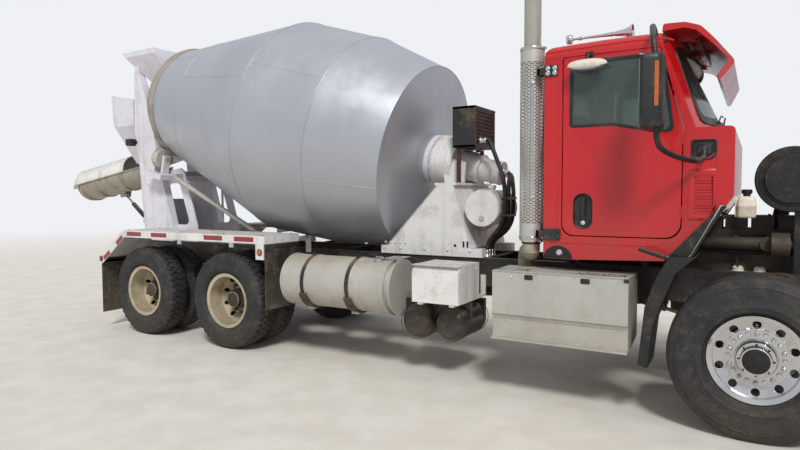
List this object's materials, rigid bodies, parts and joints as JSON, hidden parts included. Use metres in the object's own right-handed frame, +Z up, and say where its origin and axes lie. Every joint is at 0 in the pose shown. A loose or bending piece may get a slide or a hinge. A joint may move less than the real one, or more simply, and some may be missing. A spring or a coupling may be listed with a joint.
{
  "type": "concrete mixer truck",
  "caption": "Three-axle truck with a conventional red cab, a tilting hood, an inclined mixing drum on rollers, a charge hopper and a swivelling fold-over chute.",
  "frame": {"origin": "middle of the overall box at ground level", "axes": "+X to the front, +Y to the driver's left, +Z up"},
  "size_m": [11.6141, 3.1104, 3.6752],
  "materials": {
    "chassis_black": "dusty satin",
    "engine_iron": "oily cast",
    "black_plastic": "matt",
    "cream_plastic": "aged translucent plastic",
    "bright_metal": "bright, scratched",
    "red_paint": "glossy",
    "clear_glass": "tinted",
    "cab_trim": "grained",
    "chrome_metal": "polished",
    "exhaust_steel": "weathered",
    "dusty_aluminium": "dusty",
    "white_paint": "worn white",
    "tank_black": "satin",
    "flap_rubber": "dusty",
    "cooler_brown": "rusty",
    "grey_paint": "dirty, with dried concrete",
    "drum_silver": "silver, worn and stained",
    "bare_steel": "running surface",
    "chute_steel": "dirty, with dried concrete",
    "tyre_rubber": "dusty black",
    "polished_aluminium": "polished",
    "rim_paint": "cream paint, dirty"
  },
  "bodies": {
    "chassis": {"frame_rails": "chassis_black", "front_axle": "chassis_black", "drive_axles": "chassis_black", "rear_suspension": "chassis_black", "engine": "engine_iron", "radiator": "chassis_black", "air_cleaner": "black_plastic", "coolant_tank": "cream_plastic", "bumper": "bright_metal", "cab_shell": "red_paint", "cab_glass": "clear_glass", "cab_interior": "cab_trim", "sun_visor": "red_paint", "roof_horn": "chrome_metal", "mirrors": "black_plastic", "exhaust_stack": "exhaust_steel", "step_boxes": "dusty_aluminium", "side_box": "white_paint", "air_tanks": "tank_black", "fuel_tanks": "dusty_aluminium", "front_mudguards": "black_plastic", "rear_fenders": "white_paint", "mud_flaps": "flap_rubber", "front_pedestal": "white_paint", "drum_drive": "white_paint", "hydraulic_tank": "white_paint", "oil_cooler": "cooler_brown", "hydraulic_hoses": "flap_rubber", "rear_pedestal": "grey_paint", "braces": "dusty_aluminium", "charge_hopper": "grey_paint", "discharge_funnel": "grey_paint", "ladder": "dusty_aluminium"},
    "knuckle_right": {"knuckle_right": "chassis_black"},
    "knuckle_left": {"knuckle_left": "chassis_black"},
    "tie_rod": {"tie_rod": "chassis_black"},
    "front_wheel_right": {"front_rim_right": "polished_aluminium", "front_tyre_right": "tyre_rubber"},
    "front_wheel_left": {"front_rim_left": "polished_aluminium", "front_tyre_left": "tyre_rubber"},
    "mid_wheels_right": {"mid_rims_right": "rim_paint", "mid_tyres_right": "tyre_rubber"},
    "mid_wheels_left": {"mid_rims_left": "rim_paint", "mid_tyres_left": "tyre_rubber"},
    "rear_wheels_right": {"rear_rims_right": "rim_paint", "rear_tyres_right": "tyre_rubber"},
    "rear_wheels_left": {"rear_rims_left": "rim_paint", "rear_tyres_left": "tyre_rubber"},
    "fan": {"fan": "black_plastic"},
    "door_right": {"door_right": "red_paint"},
    "door_left": {"door_left": "red_paint"},
    "hood": {"hood": "red_paint"},
    "drum": {"drum_shell": "drum_silver"},
    "roller_right": {"drum_roller_right": "bare_steel"},
    "roller_left": {"drum_roller_left": "bare_steel"},
    "turret": {"chute_turret": "grey_paint"},
    "main_chute": {"main_chute": "chute_steel"},
    "fold_chute": {"fold_chute": "white_paint"},
    "lift_barrel": {"lift_barrel": "tank_black"},
    "lift_rod": {"lift_rod": "chrome_metal"}
  },
  "joints": [
    {"name": "steer_right", "type": "hinge", "parent": "chassis", "child": "knuckle_right", "pos_m": [3.478, -0.88, 0.56], "axis": [0, 0, 1], "range_deg": [-28, 28]},
    {"name": "steer_left", "type": "hinge", "parent": "chassis", "child": "knuckle_left", "pos_m": [3.478, 0.88, 0.56], "axis": [0, 0, 1], "range_deg": [-28, 28]},
    {"name": "tie_rod_pin", "type": "hinge", "parent": "knuckle_right", "child": "tie_rod", "pos_m": [3.308, -0.88, 0.412], "axis": [0, 0, 1], "range_deg": [-28, 28]},
    {"name": "front_wheel_right", "type": "hinge", "parent": "knuckle_right", "child": "front_wheel_right", "pos_m": [3.478, -1.027, 0.56], "axis": [0, 1, 0], "continuous": true},
    {"name": "front_wheel_left", "type": "hinge", "parent": "knuckle_left", "child": "front_wheel_left", "pos_m": [3.478, 1.027, 0.56], "axis": [0, 1, 0], "continuous": true},
    {"name": "mid_wheels_right", "type": "hinge", "parent": "chassis", "child": "mid_wheels_right", "pos_m": [-1.468, -0.913, 0.526], "axis": [0, 1, 0], "continuous": true},
    {"name": "mid_wheels_left", "type": "hinge", "parent": "chassis", "child": "mid_wheels_left", "pos_m": [-1.468, 0.913, 0.526], "axis": [0, 1, 0], "continuous": true},
    {"name": "rear_wheels_right", "type": "hinge", "parent": "chassis", "child": "rear_wheels_right", "pos_m": [-2.85, -0.913, 0.526], "axis": [0, 1, 0], "continuous": true},
    {"name": "rear_wheels_left", "type": "hinge", "parent": "chassis", "child": "rear_wheels_left", "pos_m": [-2.85, 0.913, 0.526], "axis": [0, 1, 0], "continuous": true},
    {"name": "fan_spin", "type": "hinge", "parent": "chassis", "child": "fan", "pos_m": [4.156, 0, 1.15], "axis": [1, 0, 0], "continuous": true},
    {"name": "door_right_hinge", "type": "hinge", "parent": "chassis", "child": "door_right", "pos_m": [2.988, -1.02, 1.9], "axis": [0, 0, 1], "range_deg": [0, 50]},
    {"name": "door_left_hinge", "type": "hinge", "parent": "chassis", "child": "door_left", "pos_m": [2.988, 1.02, 1.9], "axis": [0, 0, -1], "range_deg": [0, 50]},
    {"name": "hood_hinge", "type": "hinge", "parent": "chassis", "child": "hood", "pos_m": [4.628, 0, 0.7], "axis": [0, -1, 0], "range_deg": [0, 75]},
    {"name": "drum_spin", "type": "hinge", "parent": "chassis", "child": "drum", "pos_m": [0.371, 0, 2.076], "axis": [-0.9746, 0, 0.2241], "continuous": true},
    {"name": "roller_right_spin", "type": "hinge", "parent": "chassis", "child": "roller_right", "pos_m": [-3.3807, -0.47179, 2.16398], "axis": [-0.9746, 0, 0.2241], "continuous": true},
    {"name": "roller_left_spin", "type": "hinge", "parent": "chassis", "child": "roller_left", "pos_m": [-3.3807, 0.47179, 2.16398], "axis": [-0.9746, 0, 0.2241], "continuous": true},
    {"name": "chute_swivel", "type": "hinge", "parent": "chassis", "child": "turret", "pos_m": [-4.1625, 0, 1.5], "axis": [0, 0, 1], "range_deg": [-85, 85]},
    {"name": "chute_tilt", "type": "hinge", "parent": "turret", "child": "main_chute", "pos_m": [-4.1625, 0, 1.79], "axis": [0, 1, 0], "range_deg": [-18, 8]},
    {"name": "chute_fold", "type": "hinge", "parent": "main_chute", "child": "fold_chute", "pos_m": [-5.74397, 0, 1.80276], "axis": [0, -1, 0], "range_deg": [0, 175]},
    {"name": "lift_barrel_pin", "type": "hinge", "parent": "turret", "child": "lift_barrel", "pos_m": [-4.3425, 0, 1.3], "axis": [0, 1, 0], "range_deg": [-17, 9]},
    {"name": "lift_stroke", "type": "slide", "parent": "lift_barrel", "child": "lift_rod", "axis": [-0.8036, 0, 0.5952], "range_m": [-0.165, 0.08]}
  ],
  "couplings": [
    {"joint": "steer_left", "follows": "steer_right", "ratio": 1},
    {"joint": "tie_rod_pin", "follows": "steer_right", "ratio": -1},
    {"joint": "roller_right_spin", "follows": "drum_spin", "ratio": -5.8461},
    {"joint": "roller_left_spin", "follows": "drum_spin", "ratio": -5.8461},
    {"joint": "lift_barrel_pin", "follows": "chute_tilt", "ratio": 0.814},
    {"joint": "lift_stroke", "follows": "chute_tilt", "m_per_rad": 0.506}
  ]
}
